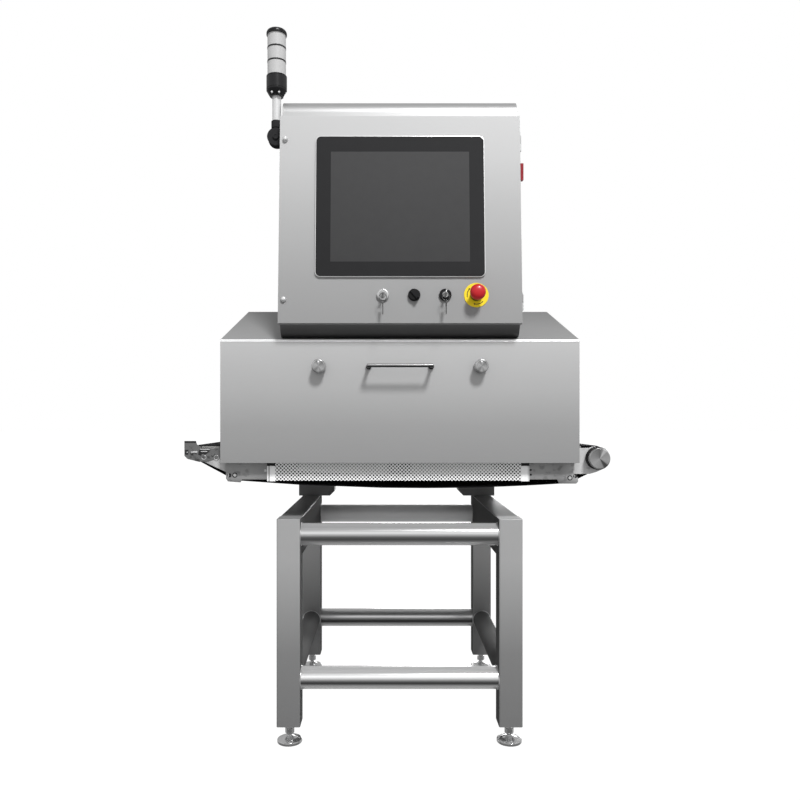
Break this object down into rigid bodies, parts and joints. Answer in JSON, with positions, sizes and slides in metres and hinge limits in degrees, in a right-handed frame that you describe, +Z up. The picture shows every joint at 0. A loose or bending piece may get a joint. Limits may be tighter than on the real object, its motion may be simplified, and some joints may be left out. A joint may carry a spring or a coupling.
{
  "type": "food x-ray inspection machine",
  "caption": "Belt conveyor through a shielded x-ray cabinet with a sloping roof, a drop cover, a leaning operator door and a folding signal tower, on a steel leg frame.",
  "frame": {"origin": "middle of the machine's underside, on the floor", "axes": "+X along the belt to the drive end, +Y from the operator to the back, +Z up"},
  "size_m": [1.0687, 0.8266, 1.8155],
  "materials": {
    "stainless": "brushed",
    "bare_steel": "satin",
    "frame_steel": "satin",
    "polished": "polished",
    "black_plastic": "satin",
    "grey_plastic": "matte",
    "red_plastic": "glossy",
    "yellow_plastic": "satin",
    "lens_plastic": "frosted",
    "screen": "dark glass",
    "belt_rubber": "matte",
    "seal_rubber": "matte",
    "curtain_rubber": "matte",
    "lead": "dull",
    "electronics": "satin"
  },
  "bodies": {
    "machine": {"legs": "frame_steel", "top_rails": "frame_steel", "frame_tubes": "bare_steel", "fasteners": "polished", "mounting_brackets": "frame_steel", "roof": "stainless", "end_walls": "stainless", "tunnel_hood": "stainless", "rear_housing": "stainless", "rear_cover": "stainless", "curtain_rods": "bare_steel", "xray_source": "electronics", "detector": "electronics", "head_shell": "stainless", "head_seals": "seal_rubber", "head_electronics": "electronics", "door_hinge_leaves": "bare_steel", "isolator_base": "black_plastic", "tower_mount": "black_plastic", "conveyor_belt": "belt_rubber", "roller_shafts": "bare_steel", "side_plates": "stainless", "conveyor_beams": "bare_steel", "slider_bed": "grey_plastic", "perforated_guard": "bare_steel"},
    "foot_front_left": {"foot_front_left": "polished"},
    "foot_front_right": {"foot_front_right": "polished"},
    "foot_rear_left": {"foot_rear_left": "polished"},
    "foot_rear_right": {"foot_rear_right": "polished"},
    "cover": {"front_cover": "stainless", "cover_lining": "lead", "cover_handle": "polished"},
    "knob_left": {"cover_knob_left": "polished"},
    "knob_right": {"cover_knob_right": "polished"},
    "door": {"door": "stainless", "monitor_body": "grey_plastic", "screen_glass": "screen", "switch_bodies": "black_plastic", "estop_ring": "yellow_plastic"},
    "latch_low": {"latch_lower": "polished"},
    "latch_high": {"latch_upper": "polished"},
    "lock_key_left": {"key_left": "polished"},
    "lock_key_right": {"key_right": "polished"},
    "hanging_key_left": {"spare_key_left": "polished"},
    "hanging_key_right": {"spare_key_right": "polished"},
    "selector": {"selector_knob": "black_plastic"},
    "estop_push": {"estop_stem": "red_plastic"},
    "estop_twist": {"estop_head": "red_plastic"},
    "isolator": {"isolator_handle": "red_plastic"},
    "tower": {"tower_knuckle": "black_plastic", "tower_pole": "lens_plastic", "tower_housings": "black_plastic", "tower_lamps": "lens_plastic"},
    "curtain_at_left": {"curtain_left": "curtain_rubber"},
    "curtain_at_right": {"curtain_right": "curtain_rubber"},
    "drum": {"drive_drum": "bare_steel"},
    "tail": {"tail_roller": "bare_steel"},
    "snub_at_left": {"snub_roller_left": "bare_steel"},
    "snub_at_right": {"snub_roller_right": "bare_steel"}
  },
  "joints": [
    {"name": "foot_screw_front_left", "type": "slide", "parent": "machine", "child": "foot_front_left", "axis": [0, 0, -1], "range_m": [0, 0.025]},
    {"name": "foot_screw_front_right", "type": "slide", "parent": "machine", "child": "foot_front_right", "axis": [0, 0, -1], "range_m": [0, 0.025]},
    {"name": "foot_screw_rear_left", "type": "slide", "parent": "machine", "child": "foot_rear_left", "axis": [0, 0, -1], "range_m": [0, 0.025]},
    {"name": "foot_screw_rear_right", "type": "slide", "parent": "machine", "child": "foot_rear_right", "axis": [0, 0, -1], "range_m": [0, 0.025]},
    {"name": "cover_hinge", "type": "hinge", "parent": "machine", "child": "cover", "pos_m": [0.0076, -0.32398, 0.7314], "axis": [1, 0, 0], "range_deg": [0, 95]},
    {"name": "knob_left_turn", "type": "hinge", "parent": "cover", "child": "knob_left", "pos_m": [-0.1919, -0.33198, 0.96], "axis": [0, 1, 0], "range_deg": [0, 90]},
    {"name": "knob_right_turn", "type": "hinge", "parent": "cover", "child": "knob_right", "pos_m": [0.2071, -0.33198, 0.96], "axis": [0, 1, 0], "range_deg": [0, 90]},
    {"name": "door_hinge", "type": "hinge", "parent": "machine", "child": "door", "pos_m": [0.3081, -0.34628, 1.09712], "axis": [0, 0.0769, 0.997], "range_deg": [0, 110]},
    {"name": "latch_low_turn", "type": "hinge", "parent": "door", "child": "latch_low", "pos_m": [-0.2759, -0.3675, 1.12103], "axis": [0, 0.997, -0.0769], "range_deg": [0, 90]},
    {"name": "latch_high_turn", "type": "hinge", "parent": "door", "child": "latch_high", "pos_m": [-0.2759, -0.33662, 1.52154], "axis": [0, 0.997, -0.0769], "range_deg": [0, 90]},
    {"name": "key_left_turn", "type": "hinge", "parent": "door", "child": "lock_key_left", "pos_m": [-0.0344, -0.3667, 1.1315], "axis": [0, 0.997, -0.0769], "range_deg": [0, 90]},
    {"name": "key_right_turn", "type": "hinge", "parent": "door", "child": "lock_key_right", "pos_m": [0.1171, -0.3667, 1.1315], "axis": [0, 0.997, -0.0769], "range_deg": [0, 90]},
    {"name": "spare_left_swing", "type": "hinge", "parent": "lock_key_left", "child": "hanging_key_left", "pos_m": [-0.0344, -0.39362, 1.13357], "axis": [1, 0, 0], "range_deg": [-60, 20]},
    {"name": "spare_right_swing", "type": "hinge", "parent": "lock_key_right", "child": "hanging_key_right", "pos_m": [0.1171, -0.39362, 1.13357], "axis": [1, 0, 0], "range_deg": [-60, 20]},
    {"name": "selector_turn", "type": "hinge", "parent": "door", "child": "selector", "pos_m": [0.0416, -0.3667, 1.1315], "axis": [0, 0.997, -0.0769], "range_deg": [0, 80]},
    {"name": "estop_press", "type": "slide", "parent": "door", "child": "estop_push", "axis": [0, 0.997, -0.0769], "range_m": [0, 0.004], "stiffness_N_per_m": 600, "springref_m": -0.002},
    {"name": "estop_release", "type": "hinge", "parent": "estop_push", "child": "estop_twist", "pos_m": [0.1926, -0.3667, 1.1315], "axis": [0, 0.997, -0.0769], "range_deg": [0, 45], "stiffness_Nm_per_rad": 0.05},
    {"name": "isolator_turn", "type": "hinge", "parent": "machine", "child": "isolator", "pos_m": [0.3026, -0.21698, 1.481], "axis": [1, 0, 0], "range_deg": [0, 90]},
    {"name": "tower_fold", "type": "hinge", "parent": "machine", "child": "tower", "pos_m": [-0.3039, -0.29198, 1.542], "axis": [0, -1, 0], "range_deg": [0, 90]},
    {"name": "curtain_left_swing", "type": "hinge", "parent": "machine", "child": "curtain_at_left", "pos_m": [-0.4152, -0.07998, 0.924], "axis": [0, 1, 0], "range_deg": [-70, 70]},
    {"name": "curtain_right_swing", "type": "hinge", "parent": "machine", "child": "curtain_at_right", "pos_m": [0.4304, -0.07998, 0.924], "axis": [0, 1, 0], "range_deg": [-70, 70]},
    {"name": "drum_turn", "type": "hinge", "parent": "machine", "child": "drum", "pos_m": [0.5036, -0.07998, 0.7322], "axis": [0, 1, 0], "continuous": true},
    {"name": "tail_turn", "type": "hinge", "parent": "machine", "child": "tail", "pos_m": [-0.5154, -0.07998, 0.7472], "axis": [0, 1, 0], "continuous": true},
    {"name": "snub_left_turn", "type": "hinge", "parent": "machine", "child": "snub_at_left", "pos_m": [-0.4079, -0.07998, 0.689], "axis": [0, 1, 0], "continuous": true},
    {"name": "snub_right_turn", "type": "hinge", "parent": "machine", "child": "snub_at_right", "pos_m": [0.4366, -0.07998, 0.682], "axis": [0, 1, 0], "continuous": true}
  ],
  "couplings": [
    {"joint": "tail_turn", "follows": "drum_turn", "ratio": 2.0309},
    {"joint": "snub_left_turn", "follows": "drum_turn", "ratio": 2.1032},
    {"joint": "snub_right_turn", "follows": "drum_turn", "ratio": 2.1032}
  ]
}
